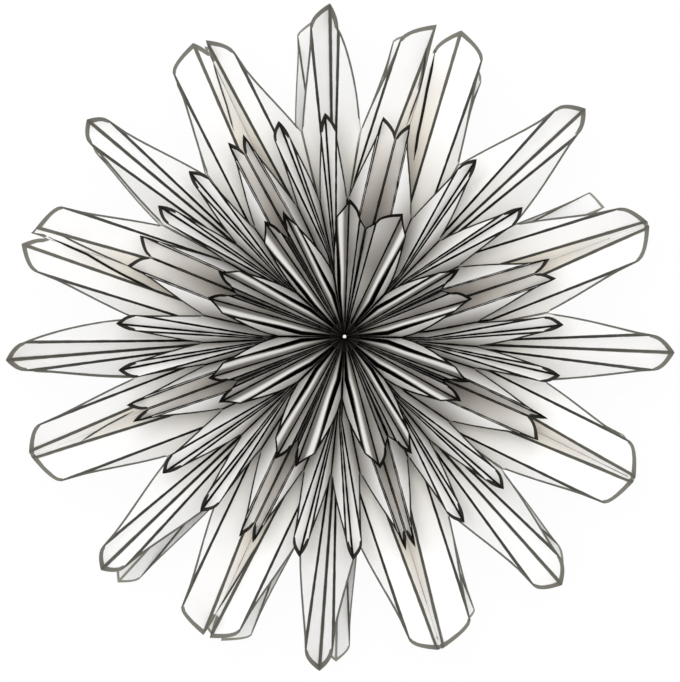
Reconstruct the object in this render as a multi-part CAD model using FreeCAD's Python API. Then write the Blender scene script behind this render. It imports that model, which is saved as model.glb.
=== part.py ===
import FreeCAD, Part
import math
import os

from FreeCAD import Vector

# Paper christmas star: a round star of folded paper petals, alike on both faces.
# Each face has three tiers of petals in eight leaves round the star: large petals lie lowest,
# medium petals stand above them, and small petals stand steepest. A petal is folded to an M:
# outer panel, ridge, inner panel, valley, inner panel, ridge, outer panel. The side petals of a
# leaf branch off its axis, so the side petals of two leaves meet in a pair between them.
# Millimetres and degrees. The star's axis is +Z, and its middle plane is z = 0 while it is
# modelled. All directions are azimuths, counted anticlockwise from +X.

# Paper
SHEET_HEIGHT = 0.45        # a sheet's thickness, measured upright
JOINT_GAP = 0.12           # angle left open between two sheets that are glued side by side

# Centre
HUB_RADIUS = 9.0           # where the sheets end, at the core
CORE_CLEARANCE = 0.15      # between the core and the ends of the sheets
CORE_HEIGHT = 8.0          # the core's height above the middle plane, and below it
OFF_CENTRE = 2.7           # how far the petals' outline lies off the hub, towards -X

# Each tier, seen along the axis. "inner" is the radius inside which the folds run straight to
# the hub, and the steps are the number of straight cuts along a petal's side and its end.
LARGE = {"tip": 199.0, "shoulder": 187.0, "notch": 126.0, "inner": 90.0,
         "side_steps": 3, "end_steps": 3}
MEDIUM = {"tip": 131.5, "shoulder": 121.0, "notch": 82.0, "inner": 50.0,
          "side_steps": 2, "end_steps": 2}
SMALL = {"tip": 80.0, "shoulder": 69.5, "notch": 37.0, "inner": 26.0,
         "side_steps": 3, "end_steps": 2}
PAIR_TIP = 196.0           # the large petals of a pair are a little shorter
PAIR_SHOULDER = 185.0
SMALL_PAIR_NOTCH = 66.0    # between two small petals that belong to two leaves

# Rises of the folds out of the middle plane: at the cut edge, and inside the inner radius.
LARGE_RISE = {"joint": (0.5, 0.5), "valley": (5.0, 3.5), "ridge": (9.5, 5.5),
              "pair_ridge": (8.5, 2.0), "pair_middle": (6.5, 6.0)}
MEDIUM_RISE = {"joint": (12.5, 14.0), "valley": (17.5, 15.5), "ridge": (20.5, 17.0)}
SMALL_RISE = {"joint": (28.0, 28.0), "valley": (37.0, 37.0), "ridge": (44.0, 44.0),
              "axis_ridge": (40.0, 40.0), "pair_joint": (25.0, 25.0)}

# Where the folds of a leaf branch off its axis, as radii.
POINT_BRANCH = 52.0
PAIR_RIDGE_BRANCH = 54.0
BACK_RIDGE_BRANCH = 30.0   # the same on the back, where some ridges run close to their joints
PAIR_VALLEY_BRANCH = 32.0
LARGE_JOINT_BRANCH = 38.0
MEDIUM_BRANCH = 40.0
MEDIUM_SIDE_BRANCH = 22.0
MEDIUM_JOINT_BRANCH = 25.0
SMALL_BRANCH = 21.0

# How a petal's side falls from shoulder to notch, and how its end rises from shoulder to tip:
# 1 is straight, and less than 1 falls or rises sooner.
SIDE_CURVE = 0.8
PAIR_SIDE_CURVE = 0.58
END_CURVE = 0.62
# From a medium petal's valley to its ridges: on the side of its leaf's axis, on the other side,
# and on the axis side of the two outer petals, which stand almost edge on.
MEDIUM_AXIS_SIDE = 1.7
MEDIUM_FAR_SIDE = 2.7
MEDIUM_EDGE_ON = 0.8

# Directions of the folds, leaf by leaf, set by hand: the folding isn't quite even.
LEAF_AXES = [-4.0, 45.0, 97.5, 139.5, 182.3, 223.7, 265.0, 309.8]
# Large: each point's right ridge, tip and left ridge.
POINTS = [(-6.3, -2.8, 0.4), (40.8, 43.4, 47.2), (91.1, 92.5, 96.3), (137.4, 139.9, 142.9),
          (181.0, 184.0, 186.2), (220.9, 223.8, 226.5), (262.8, 265.7, 267.9),
          (307.1, 311.2, 314.4)]
# Large: the pair after each point, as right ridge, right tip, middle, left tip and left ridge.
PAIRS = [(14.3, 19.8, 20.3, 20.8, 25.1), (63.5, 69.1, 72.8, 73.5, 79.4),
         (111.1, 115.1, 115.6, 117.3, 123.1), (155.3, 160.5, 161.8, 164.0, 168.2),
         (196.0, 200.1, 200.7, 201.3, 207.1), (238.9, 244.7, 245.3, 245.9, 250.5),
         (282.0, 286.6, 287.1, 287.6, 294.0), (327.2, 333.2, 333.7, 334.2, 339.9)]
# Large: the joints on the right and left of each point.
POINT_JOINTS = [(-12.3, 6.7), (33.3, 56.5), (85.5, 101.8), (130.4, 148.5), (175.0, 191.0),
                (214.3, 232.0), (257.5, 273.8), (300.5, 320.0)]
# Medium: the four tips of each leaf, its joints, and the middle of the pair on its right.
MEDIUM_TIPS = [(-22.0, -10.3, 3.0, 15.3), (20.8, 36.0, 53.3, 72.8), (80.0, 95.0, 107.0, 116.6),
               (121.0, 133.3, 144.9, 153.7), (162.0, 176.8, 188.5, 197.5),
               (202.0, 217.0, 230.5, 242.2), (246.0, 258.4, 272.2, 286.0),
               (288.6, 302.8, 316.2, 331.8)]
MEDIUM_JOINTS = [(-13.7, -4.3, 6.2), (31.5, 45.3, 60.4), (88.8, 100.3, 109.9),
                 (129.7, 139.6, 147.7), (171.5, 182.5, 191.5), (210.8, 223.7, 233.5),
                 (253.0, 264.5, 276.5), (297.8, 309.3, 321.0)]
MEDIUM_MIDDLES = [-23.4, 18.2, 75.5, 118.6, 157.8, 200.2, 244.3, 287.3]
# Small: each leaf's joint at its axis, the joint on its right, and its right and left petals
# as right ridge, tip and left ridge.
SMALL_JOINTS = [-1.0, 46.5, 99.8, 137.5, 180.0, 224.5, 267.5, 313.5]
SMALL_PAIR_JOINTS = [-23.8, 25.5, 79.0, 119.8, 159.0, 202.5, 245.8, 293.5]
SMALL_RIGHT = [(-22.3, -20.0, -15.0), (27.5, 30.7, 34.0), (82.5, 88.0, 94.0),
               (121.3, 124.8, 131.0), (160.5, 164.3, 169.5), (204.5, 207.8, 213.0),
               (247.0, 249.5, 256.0), (296.3, 300.0, 304.0)]
SMALL_LEFT = [(13.0, 16.3, 22.3), (58.3, 64.5, 74.5), (113.0, 116.0, 118.6),
              (147.8, 152.5, 156.5), (192.0, 197.0, 200.7), (235.5, 240.5, 244.3),
              (279.7, 285.0, 290.5), (326.0, 330.8, 334.8)]

# Large: the side curves on the right and left of each point.
POINT_SIDE_CURVES = [(0.8, 0.8), (0.8, 0.65), (1.2, 0.7), (0.65, 0.8), (1.1, 0.8), (0.7, 0.7),
                     (0.8, 0.6), (0.6, 0.8)]

# Large: how much further the same folds reach than their tier's lengths. In a pair, the middle
# has two lengths, for its right and its left petal.
POINT_REACH = [(0, 1, -2.4), (-2.4, 1, -1), (-5, 0, -2.4), (0, 0, 0), (0, 1, 0), (0, 0.5, 0),
               (0, 1, -1), (0, 0, -2.7)]
PAIR_REACH = [(-2.4, 0, 10, 10, 0, -2.4), (0, 0.6, -6, -31, -1, -5), (-5, -1.8, -3, 1, 0, 0),
              (-2.7, -3.3, 9, -1, 2, 0), (1.5, 2, 12, 12, 1.5, 1), (1, 0, -2, -2, 0, 0),
              (0, 0, 10, 10, 0, 0), (0, -0.5, 9.5, 9.5, -0.5, -1.8)]

# The back: the same face turned over. Its leaves are turned a little about the axis: each pair
# is a direction on the front and how far the back has turned there.
BACK_TURNS = [(-12.3, -0.3), (-2.8, 0.3), (6.7, -0.4), (20.0, 5.6), (25.1, 5.4), (33.3, 0.2),
              (45.0, -0.3), (56.5, -0.3), (63.5, -1.8), (69.1, -0.9), (79.4, 1.3), (85.5, 0.0),
              (93.0, 3.7), (97.0, 2.4), (101.8, 1.9), (117.0, 0.5), (140.0, 0.9), (162.0, 0.7),
              (175.0, 0.0), (184.0, 0.6), (200.0, 0.0), (214.3, -0.5), (223.8, 3.5),
              (226.5, 3.3), (232.0, 0.5), (246.0, 2.0), (250.5, 2.2), (257.5, 0.0),
              (265.7, 2.8), (267.9, 3.1), (273.8, 0.0), (288.0, 1.4), (294.0, 1.5),
              (300.5, 0.0), (311.0, 1.6), (314.4, 1.4), (320.0, -0.3), (334.0, 0.7),
              (339.9, 0.7)]
BACK_POINT_REACH = [(0, 0, 0), (0, 0, 0), (0, -5.5, 1), (0, 0, 0), (0, 0, 0), (0, 4, 7.5),
                    (0, 0, 4.5), (0, 0, 0)]
BACK_PAIR_REACH = [(-8, -20, -20, -20, -16, -7.5), (-6, -2, -6, -31, 0, 0), (0, 0, 0, 0, 0, 0),
                   (0, 0, 0, 0, 0, 0), (0, 0, 0, 0, 0, 0), (0, 4, 0, 0, 4, 7.5),
                   (0, 0, 0, 0, 0, 3), (0, 0, 0, 0, 0, 0)]


def polar(radius, azimuth, height=0.0):
    angle = math.radians(azimuth)
    return Vector(radius * math.cos(angle), radius * math.sin(angle), height)


def plan_radius(point):
    return math.hypot(point.x, point.y)


def raised(point, rise):
    """The point lifted until its line to the star's centre has this rise."""
    return Vector(point.x, point.y, plan_radius(point) * math.tan(math.radians(rise)))


class Face:
    """One face of the star: how far its folds have turned, and where they begin and end."""

    def __init__(self, turns, ridge_branch, point_reach, pair_reach):
        self.turns = turns + [(turns[0][0] + 360.0, turns[0][1])]
        self.ridge_branch = ridge_branch
        self.point_reach = point_reach
        self.pair_reach = pair_reach

    def turned(self, azimuth):
        """Where a direction of the tables lies on this face."""
        lap = math.floor((azimuth - self.turns[0][0]) / 360.0) * 360.0
        place = azimuth - lap
        for (start, start_turn), (end, end_turn) in zip(self.turns, self.turns[1:]):
            if place <= end:
                share = (place - start) / (end - start)
                return azimuth + start_turn + (end_turn - start_turn) * share


def fold(azimuth, radius, rises, form, axis=None, branch=0.0):
    """One fold as points from the hub to the cut edge. It runs straight from its leaf's axis,
    or from the star's centre if no axis is given."""
    radius -= OFF_CENTRE * math.cos(math.radians(azimuth))
    end = polar(radius, azimuth)
    start = polar(branch, axis) if axis is not None else Vector(0, 0, 0)
    share = (form["inner"] - branch) / (radius - branch)
    inner = start + (end - start) * share
    hub = inner * (HUB_RADIUS / plan_radius(inner))
    return [raised(hub, rises[1]), raised(inner, rises[1]), raised(end, rises[0])]


def along(crease, radius):
    """The point at a radius on the outer stretch of a fold, or beyond its end."""
    inner, end = crease[-2], crease[-1]
    share = (radius - plan_radius(inner)) / (plan_radius(end) - plan_radius(inner))
    return inner + (end - inner) * share


def cut_edge(first, second, form, side_curve):
    """Points along the cut edge from the end of one fold to the end of the next."""
    ridge, other = (first, second) if first[-1].z > second[-1].z else (second, first)
    start, finish = plan_radius(ridge[-1]), plan_radius(other[-1])
    steps = form["end_steps"] if finish > start else form["side_steps"]
    power = END_CURVE if finish > start else side_curve
    points = []
    for step in range(steps + 1):
        share = step / steps
        radius = start + (finish - start) * share ** power
        points.append(along(ridge, radius) * (1 - share) + along(other, radius) * share)
    return points if ridge is first else points[::-1]


def panel_triangles(first, second, edge):
    """A panel between two folds as triangles, anticlockwise seen from above."""
    triangles = []
    for row in range(len(first) - 2):
        triangles.append((first[row], first[row + 1], second[row + 1]))
        triangles.append((first[row], second[row + 1], second[row]))
    for near, far in zip(edge, edge[1:]):
        triangles.append((first[-2], near, far))
    triangles.append((first[-2], second[-1], second[-2]))
    return triangles


def face_of(points):
    return Part.Face(Part.makePolygon(list(points) + [points[0]]))


def folded_sheet(folds, form, right_curve=SIDE_CURVE, left_curve=SIDE_CURVE):
    """One sheet of paper as a solid, through its folds in order of azimuth."""
    lift = Vector(0, 0, SHEET_HEIGHT)
    curves = [right_curve] + [SIDE_CURVE] * (len(folds) - 3) + [left_curve]
    edges = [cut_edge(first, second, form, curve)
             for first, second, curve in zip(folds, folds[1:], curves)]
    triangles = []
    rim = list(folds[0])
    for first, second, edge in zip(folds, folds[1:], edges):
        triangles.extend(panel_triangles(first, second, edge))
        rim.extend(edge[1:])
    rim.extend(folds[-1][-2::-1])
    rim.extend(crease[0] for crease in folds[-2:0:-1])

    faces = [face_of([point + lift for point in corners]) for corners in triangles]
    faces += [face_of(corners[::-1]) for corners in triangles]
    for start, end in zip(rim, rim[1:] + rim[:1]):
        faces.append(face_of([start, end, end + lift, start + lift]))
    shell = Part.makeShell(faces)
    shell.sewShape()
    return Part.makeSolid(shell)


def large_point(index, face):
    """The large petal in the middle of a leaf."""
    before, after = POINT_JOINTS[index]
    right, tip, left = [face.turned(azimuth) for azimuth in POINTS[index]]
    right_reach, tip_reach, left_reach = face.point_reach[index]
    start, end = face.turned(before) + JOINT_GAP / 2, face.turned(after) - JOINT_GAP / 2
    axis = face.turned(LEAF_AXES[index])
    joint, ridge, valley = LARGE_RISE["joint"], LARGE_RISE["ridge"], LARGE_RISE["valley"]
    shoulder = LARGE["shoulder"]
    folds = [fold(start, LARGE["notch"], joint, LARGE, axis, LARGE_JOINT_BRANCH),
             fold(right, shoulder + right_reach, ridge, LARGE, axis, POINT_BRANCH),
             fold(tip, LARGE["tip"] + tip_reach, valley, LARGE, axis, POINT_BRANCH),
             fold(left, shoulder + left_reach, ridge, LARGE, axis, POINT_BRANCH),
             fold(end, LARGE["notch"], joint, LARGE, axis, LARGE_JOINT_BRANCH)]
    right_curve, left_curve = POINT_SIDE_CURVES[index]
    return folded_sheet(folds, LARGE, right_curve, left_curve)


def large_side_petal(axis, joint, ridge, ridge_branch, tip, middle, reach):
    """One petal of a pair, from its joint with the point of its own leaf to the pair's middle."""
    way = 1 if tip > axis else -1
    ridge_reach, tip_reach, middle_reach = reach
    folds = [fold(joint + way * JOINT_GAP / 2, LARGE["notch"], LARGE_RISE["joint"], LARGE,
                  axis, LARGE_JOINT_BRANCH),
             fold(ridge, PAIR_SHOULDER + ridge_reach, LARGE_RISE["pair_ridge"], LARGE,
                  axis, ridge_branch),
             fold(tip, PAIR_TIP + tip_reach, LARGE_RISE["valley"], LARGE,
                  axis, PAIR_VALLEY_BRANCH),
             fold(middle - way * JOINT_GAP / 2, PAIR_SHOULDER + middle_reach,
                  LARGE_RISE["pair_middle"], LARGE)]
    return folded_sheet(folds[::way], LARGE, PAIR_SIDE_CURVE, PAIR_SIDE_CURVE)


def large_pair(index, face):
    """The two petals between a leaf and the next one: they touch along the pair's middle."""
    right_ridge, right_tip, middle, left_tip, left_ridge = [face.turned(azimuth)
                                                            for azimuth in PAIRS[index]]
    reach = face.pair_reach[index]
    next_joints = [before for before, after in POINT_JOINTS]
    return [large_side_petal(face.turned(LEAF_AXES[index]), face.turned(POINT_JOINTS[index][1]),
                             right_ridge, face.ridge_branch, right_tip, middle, reach[:3]),
            large_side_petal(face.turned(next_of(LEAF_AXES, index)),
                             face.turned(next_of(next_joints, index)),
                             left_ridge, face.ridge_branch, left_tip, middle, reach[:2:-1])]


def next_of(directions, index):
    """The direction after an index, which goes on past a full turn."""
    if index + 1 < len(directions):
        return directions[index + 1]
    return directions[0] + 360.0


def medium_fan(index, face):
    """A leaf's four medium petals: it is glued to its neighbours along two ridges."""
    axis = face.turned(LEAF_AXES[index])
    joints = MEDIUM_JOINTS[index]
    ridge, valley, joint = MEDIUM_RISE["ridge"], MEDIUM_RISE["valley"], MEDIUM_RISE["joint"]
    shoulder = MEDIUM["shoulder"]
    start = face.turned(MEDIUM_MIDDLES[index]) + JOINT_GAP / 2
    end = face.turned(next_of(MEDIUM_MIDDLES, index)) - JOINT_GAP / 2

    folds = [fold(start, shoulder, ridge, MEDIUM)]
    for place, tip in enumerate(MEDIUM_TIPS[index]):
        outer = place in (0, 3)
        axis_side = MEDIUM_EDGE_ON if outer else MEDIUM_AXIS_SIDE
        right, left = (MEDIUM_FAR_SIDE, axis_side) if place < 2 else (axis_side, MEDIUM_FAR_SIDE)
        branch = MEDIUM_SIDE_BRANCH if outer else MEDIUM_BRANCH
        if place > 0:
            folds.append(fold(face.turned(tip - right), shoulder, ridge, MEDIUM, axis, branch))
        folds.append(fold(face.turned(tip), MEDIUM["tip"], valley, MEDIUM, axis, branch))
        if place < 3:
            folds.append(fold(face.turned(tip + left), shoulder, ridge, MEDIUM, axis, branch))
            folds.append(fold(face.turned(joints[place]), MEDIUM["notch"], joint, MEDIUM,
                              axis, MEDIUM_JOINT_BRANCH))
    folds.append(fold(end, shoulder, ridge, MEDIUM))
    return folded_sheet(folds, MEDIUM)


def small_petal(azimuths, axis, face):
    """The folds of one small petal: only the ridge beside its leaf's axis branches off there."""
    right, tip, left = [face.turned(azimuth) for azimuth in azimuths]
    way = 1 if tip > axis else -1
    near, far = (right, left) if way > 0 else (left, right)
    folds = [fold(near, SMALL["shoulder"], SMALL_RISE["axis_ridge"], SMALL, axis, SMALL_BRANCH),
             fold(tip, SMALL["tip"], SMALL_RISE["valley"], SMALL),
             fold(far, SMALL["shoulder"], SMALL_RISE["ridge"], SMALL)]
    return folds[::way]


def small_fan(index, face):
    """A leaf's two small petals, joined at its axis."""
    start = face.turned(SMALL_PAIR_JOINTS[index]) + JOINT_GAP / 2
    end = face.turned(next_of(SMALL_PAIR_JOINTS, index)) - JOINT_GAP / 2
    axis = face.turned(SMALL_JOINTS[index])
    folds = [fold(start, SMALL_PAIR_NOTCH, SMALL_RISE["pair_joint"], SMALL)]
    folds += small_petal(SMALL_RIGHT[index], axis, face)
    folds.append(fold(axis, SMALL["notch"], SMALL_RISE["joint"], SMALL))
    folds += small_petal(SMALL_LEFT[index], axis, face)
    folds.append(fold(end, SMALL_PAIR_NOTCH, SMALL_RISE["pair_joint"], SMALL))
    return folded_sheet(folds, SMALL)


def build_core():
    widest = max(after - before for before, after in POINT_JOINTS) / 2
    radius = HUB_RADIUS * math.cos(math.radians(widest)) - CORE_CLEARANCE
    return Part.makeCylinder(radius, 2 * CORE_HEIGHT, Vector(0, 0, -CORE_HEIGHT))


def turned_over(solids):
    return [solid.mirror(Vector(0, 0, 0), Vector(0, 0, 1)) for solid in solids]


def build_nodes():
    front = Face([(0.0, 0.0)], PAIR_RIDGE_BRANCH, POINT_REACH, PAIR_REACH)
    back = Face(BACK_TURNS, BACK_RIDGE_BRANCH, BACK_POINT_REACH, BACK_PAIR_REACH)
    nodes = {}
    leaves = range(len(LEAF_AXES))
    for index in leaves:
        number = index + 1
        nodes["front_point_%d" % number] = [large_point(index, front)]
        nodes["front_pair_%d" % number] = large_pair(index, front)
        nodes["front_medium_fan_%d" % number] = [medium_fan(index, front)]
        nodes["front_small_fan_%d" % number] = [small_fan(index, front)]
        nodes["back_point_%d" % number] = turned_over([large_point(index, back)])
        nodes["back_pair_%d" % number] = turned_over(large_pair(index, back))
    nodes["back_medium_fans"] = turned_over([medium_fan(index, back) for index in leaves])
    nodes["back_small_fans"] = turned_over([small_fan(index, back) for index in leaves])
    nodes["core"] = [build_core()]
    return nodes


def main():
    nodes = build_nodes()
    whole = Part.makeCompound([solid for solids in nodes.values() for solid in solids])
    bounds = whole.BoundBox
    to_origin = Vector(-bounds.Center.x, -bounds.Center.y, -bounds.ZMin)

    os.makedirs("parts", exist_ok=True)
    for name, solids in nodes.items():
        shape = solids[0] if len(solids) == 1 else Part.makeCompound(solids)
        shape.translate(to_origin)
        shape.exportStep("parts/%s.step" % name)


main()
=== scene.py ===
import math

import bpy
import numpy as np
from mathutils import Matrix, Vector
from mathutils.bvhtree import BVHTree


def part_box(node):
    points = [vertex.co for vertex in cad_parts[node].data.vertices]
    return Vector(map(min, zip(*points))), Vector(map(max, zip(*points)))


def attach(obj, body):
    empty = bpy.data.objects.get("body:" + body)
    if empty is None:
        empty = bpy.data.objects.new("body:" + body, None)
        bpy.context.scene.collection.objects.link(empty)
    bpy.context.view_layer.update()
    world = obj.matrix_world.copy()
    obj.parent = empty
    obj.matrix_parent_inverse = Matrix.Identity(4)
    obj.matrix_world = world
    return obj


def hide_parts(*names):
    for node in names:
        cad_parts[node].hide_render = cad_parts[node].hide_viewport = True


# A round star of folded white paper whose cut edges and folds are drawn in dark ink.
# Lengths are in millimetres from the hub in the middle plane, and directions are azimuths in
# degrees, counted anticlockwise from +X. Builder.build() turns them into metres in the frame.
# The values down to BACK_PAIR_REACH are the same as in the part's source.

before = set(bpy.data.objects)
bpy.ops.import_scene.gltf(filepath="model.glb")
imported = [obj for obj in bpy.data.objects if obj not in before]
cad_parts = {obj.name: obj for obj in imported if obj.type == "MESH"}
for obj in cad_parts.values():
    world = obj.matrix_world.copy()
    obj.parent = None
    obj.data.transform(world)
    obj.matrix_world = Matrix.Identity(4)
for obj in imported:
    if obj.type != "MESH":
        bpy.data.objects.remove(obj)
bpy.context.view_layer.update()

# Paper
SHEET_HEIGHT = 0.45        # a sheet's thickness, measured upright
JOINT_GAP = 0.12           # angle left open between two sheets that are glued side by side

# Centre
HUB_RADIUS = 9.0           # where the sheets end, at the core
OFF_CENTRE = 2.7           # how far the petals' outline lies off the hub, towards -X

# Each tier, seen along the axis. "inner" is the radius inside which the folds run straight to
# the hub.
LARGE = {"tip": 199.0, "shoulder": 187.0, "notch": 126.0, "inner": 90.0}
MEDIUM = {"tip": 131.5, "shoulder": 121.0, "notch": 82.0, "inner": 50.0}
SMALL = {"tip": 80.0, "shoulder": 69.5, "notch": 37.0, "inner": 26.0}
PAIR_TIP = 196.0           # the large petals of a pair are a little shorter
PAIR_SHOULDER = 185.0
SMALL_PAIR_NOTCH = 66.0    # between two small petals that belong to two leaves

# Rises of the folds out of the middle plane: at the cut edge, and inside the inner radius.
LARGE_RISE = {"joint": (0.5, 0.5), "valley": (5.0, 3.5), "ridge": (9.5, 5.5),
              "pair_ridge": (8.5, 2.0), "pair_middle": (6.5, 6.0)}
MEDIUM_RISE = {"joint": (12.5, 14.0), "valley": (17.5, 15.5), "ridge": (20.5, 17.0)}
SMALL_RISE = {"joint": (28.0, 28.0), "valley": (37.0, 37.0), "ridge": (44.0, 44.0),
              "axis_ridge": (40.0, 40.0), "pair_joint": (25.0, 25.0)}

# Where the folds of a leaf branch off its axis, as radii.
POINT_BRANCH = 52.0
PAIR_RIDGE_BRANCH = 54.0
BACK_RIDGE_BRANCH = 30.0   # the same on the back, where some ridges run close to their joints
PAIR_VALLEY_BRANCH = 32.0
LARGE_JOINT_BRANCH = 38.0
MEDIUM_BRANCH = 40.0
MEDIUM_SIDE_BRANCH = 22.0
MEDIUM_JOINT_BRANCH = 25.0
SMALL_BRANCH = 21.0

# How a petal's side falls from shoulder to notch, and how its end rises from shoulder to tip:
# 1 is straight, and less than 1 falls or rises sooner.
SIDE_CURVE = 0.8
PAIR_SIDE_CURVE = 0.58
END_CURVE = 0.62
# From a medium petal's valley to its ridges: on the side of its leaf's axis, on the other side,
# and on the axis side of the two outer petals, which stand almost edge on.
MEDIUM_AXIS_SIDE = 1.7
MEDIUM_FAR_SIDE = 2.7
MEDIUM_EDGE_ON = 0.8

# Directions of the folds, leaf by leaf: the folding isn't quite even.
LEAF_AXES = [-4.0, 45.0, 97.5, 139.5, 182.3, 223.7, 265.0, 309.8]
# Large: each point's right ridge, tip and left ridge.
POINTS = [(-6.3, -2.8, 0.4), (40.8, 43.4, 47.2), (91.1, 92.5, 96.3), (137.4, 139.9, 142.9),
          (181.0, 184.0, 186.2), (220.9, 223.8, 226.5), (262.8, 265.7, 267.9),
          (307.1, 311.2, 314.4)]
# Large: the pair after each point, as right ridge, right tip, middle, left tip and left ridge.
PAIRS = [(14.3, 19.8, 20.3, 20.8, 25.1), (63.5, 69.1, 72.8, 73.5, 79.4),
         (111.1, 115.1, 115.6, 117.3, 123.1), (155.3, 160.5, 161.8, 164.0, 168.2),
         (196.0, 200.1, 200.7, 201.3, 207.1), (238.9, 244.7, 245.3, 245.9, 250.5),
         (282.0, 286.6, 287.1, 287.6, 294.0), (327.2, 333.2, 333.7, 334.2, 339.9)]
# Large: the joints on the right and left of each point.
POINT_JOINTS = [(-12.3, 6.7), (33.3, 56.5), (85.5, 101.8), (130.4, 148.5), (175.0, 191.0),
                (214.3, 232.0), (257.5, 273.8), (300.5, 320.0)]
# Medium: the four tips of each leaf, its joints, and the middle of the pair on its right.
MEDIUM_TIPS = [(-22.0, -10.3, 3.0, 15.3), (20.8, 36.0, 53.3, 72.8), (80.0, 95.0, 107.0, 116.6),
               (121.0, 133.3, 144.9, 153.7), (162.0, 176.8, 188.5, 197.5),
               (202.0, 217.0, 230.5, 242.2), (246.0, 258.4, 272.2, 286.0),
               (288.6, 302.8, 316.2, 331.8)]
MEDIUM_JOINTS = [(-13.7, -4.3, 6.2), (31.5, 45.3, 60.4), (88.8, 100.3, 109.9),
                 (129.7, 139.6, 147.7), (171.5, 182.5, 191.5), (210.8, 223.7, 233.5),
                 (253.0, 264.5, 276.5), (297.8, 309.3, 321.0)]
MEDIUM_MIDDLES = [-23.4, 18.2, 75.5, 118.6, 157.8, 200.2, 244.3, 287.3]
# Small: each leaf's joint at its axis, the joint on its right, and its right and left petals
# as right ridge, tip and left ridge.
SMALL_JOINTS = [-1.0, 46.5, 99.8, 137.5, 180.0, 224.5, 267.5, 313.5]
SMALL_PAIR_JOINTS = [-23.8, 25.5, 79.0, 119.8, 159.0, 202.5, 245.8, 293.5]
SMALL_RIGHT = [(-22.3, -20.0, -15.0), (27.5, 30.7, 34.0), (82.5, 88.0, 94.0),
               (121.3, 124.8, 131.0), (160.5, 164.3, 169.5), (204.5, 207.8, 213.0),
               (247.0, 249.5, 256.0), (296.3, 300.0, 304.0)]
SMALL_LEFT = [(13.0, 16.3, 22.3), (58.3, 64.5, 74.5), (113.0, 116.0, 118.6),
              (147.8, 152.5, 156.5), (192.0, 197.0, 200.7), (235.5, 240.5, 244.3),
              (279.7, 285.0, 290.5), (326.0, 330.8, 334.8)]

# Large: the side curves on the right and left of each point.
POINT_SIDE_CURVES = [(0.8, 0.8), (0.8, 0.65), (1.2, 0.7), (0.65, 0.8), (1.1, 0.8), (0.7, 0.7),
                     (0.8, 0.6), (0.6, 0.8)]

# Large: how much further the same folds reach than their tier's lengths. In a pair, the middle
# has two lengths, for its right and its left petal.
POINT_REACH = [(0, 1, -2.4), (-2.4, 1, -1), (-5, 0, -2.4), (0, 0, 0), (0, 1, 0), (0, 0.5, 0),
               (0, 1, -1), (0, 0, -2.7)]
PAIR_REACH = [(-2.4, 0, 10, 10, 0, -2.4), (0, 0.6, -6, -31, -1, -5), (-5, -1.8, -3, 1, 0, 0),
              (-2.7, -3.3, 9, -1, 2, 0), (1.5, 2, 12, 12, 1.5, 1), (1, 0, -2, -2, 0, 0),
              (0, 0, 10, 10, 0, 0), (0, -0.5, 9.5, 9.5, -0.5, -1.8)]

# The back: the same face turned over. Its leaves are turned a little about the axis: each pair
# is a direction on the front and how far the back has turned there.
BACK_TURNS = [(-12.3, -0.3), (-2.8, 0.3), (6.7, -0.4), (20.0, 5.6), (25.1, 5.4), (33.3, 0.2),
              (45.0, -0.3), (56.5, -0.3), (63.5, -1.8), (69.1, -0.9), (79.4, 1.3), (85.5, 0.0),
              (93.0, 3.7), (97.0, 2.4), (101.8, 1.9), (117.0, 0.5), (140.0, 0.9), (162.0, 0.7),
              (175.0, 0.0), (184.0, 0.6), (200.0, 0.0), (214.3, -0.5), (223.8, 3.5),
              (226.5, 3.3), (232.0, 0.5), (246.0, 2.0), (250.5, 2.2), (257.5, 0.0),
              (265.7, 2.8), (267.9, 3.1), (273.8, 0.0), (288.0, 1.4), (294.0, 1.5),
              (300.5, 0.0), (311.0, 1.6), (314.4, 1.4), (320.0, -0.3), (334.0, 0.7),
              (339.9, 0.7)]
BACK_POINT_REACH = [(0, 0, 0), (0, 0, 0), (0, -5.5, 1), (0, 0, 0), (0, 0, 0), (0, 4, 7.5),
                    (0, 0, 4.5), (0, 0, 0)]
BACK_PAIR_REACH = [(-8, -20, -20, -20, -16, -7.5), (-6, -2, -6, -31, 0, 0), (0, 0, 0, 0, 0, 0),
                   (0, 0, 0, 0, 0, 0), (0, 0, 0, 0, 0, 0), (0, 4, 0, 0, 4, 7.5),
                   (0, 0, 0, 0, 0, 3), (0, 0, 0, 0, 0, 0)]

# Ink on the folds, as the half width at the cut edge, the half width near the hub, and the
# tones at the same places. Tones go from 0, black, to 1, a pale olive grey.
LINES = {
    "large_joint": (0.45, 0.60, 0.45, 0.05),
    "large_ridge": (1.00, 0.74, 0.34, 0.0),
    "large_valley": (1.15, 0.85, 0.66, 0.08),
    "pair_ridge": (1.05, 0.70, 0.34, 0.0),
    "pair_valley": (1.15, 0.80, 0.62, 0.08),
    "pair_middle": (0.0, 0.0, 0.5, 0.5),
    "medium_joint": (0.55, 0.60, 0.05, 0.0),
    "medium_ridge": (0.62, 0.62, 0.08, 0.0),
    "medium_valley": (0.70, 0.60, 0.05, 0.0),
    "medium_edge_ridge": (0.35, 0.35, 0.08, 0.0),
    "medium_edge_valley": (0.45, 0.40, 0.05, 0.0),
    "medium_middle": (0.60, 0.70, 0.05, 0.0),
    "small_joint": (0.70, 0.70, 0.02, 0.0),
    "small_ridge": (0.62, 0.50, 0.04, 0.0),
    "small_axis_ridge": (0.62, 0.50, 0.04, 0.0),
    "small_valley": (0.62, 0.50, 0.04, 0.0),
    "small_pair_joint": (0.70, 0.80, 0.02, 0.0),
}
LINE_START = 0.45          # share of a fold's length in which its line stays as near the hub
PAST_END = 3.0             # how far beyond a fold's end its line still counts
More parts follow.
